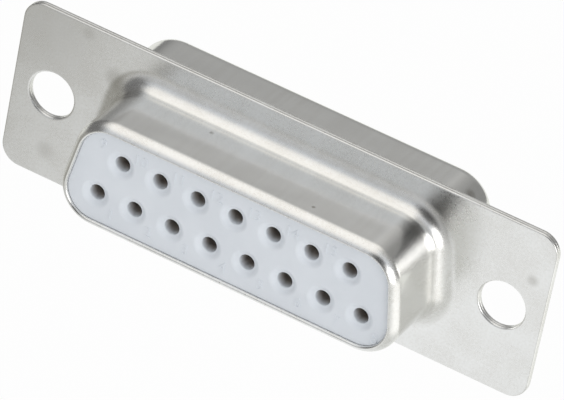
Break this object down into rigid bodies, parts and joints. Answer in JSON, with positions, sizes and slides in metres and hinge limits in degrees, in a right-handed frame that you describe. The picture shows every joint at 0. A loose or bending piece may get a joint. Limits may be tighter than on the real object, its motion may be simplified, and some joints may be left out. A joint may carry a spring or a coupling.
{
  "type": "d-sub connector",
  "caption": "D-shaped panel receptacle housing with a two-hole flange, plated steel shells and a pale insulator with two rows of fifteen empty contact cavities.",
  "frame": {"origin": "centre of the flange's front face, midway between its two fixing holes", "axes": "+X along the flange, so that the holes of the longer row number 1 to 8 from -X to +X; -Y towards the mating plug; +Z towards the side of the shorter row"},
  "size_m": [0.0392, 0.0121, 0.0126],
  "materials": {
    "plated_steel": "satin tin plate over deep-drawn steel, nearly mirror bright on the D",
    "insulator": "matte moulded thermoplastic, pale bluish grey"
  },
  "bodies": {
    "root": {"front_shell": "plated_steel", "rear_shell": "plated_steel", "front_insulator": "insulator", "rear_insulator": "insulator"}
  },
  "joints": []
}
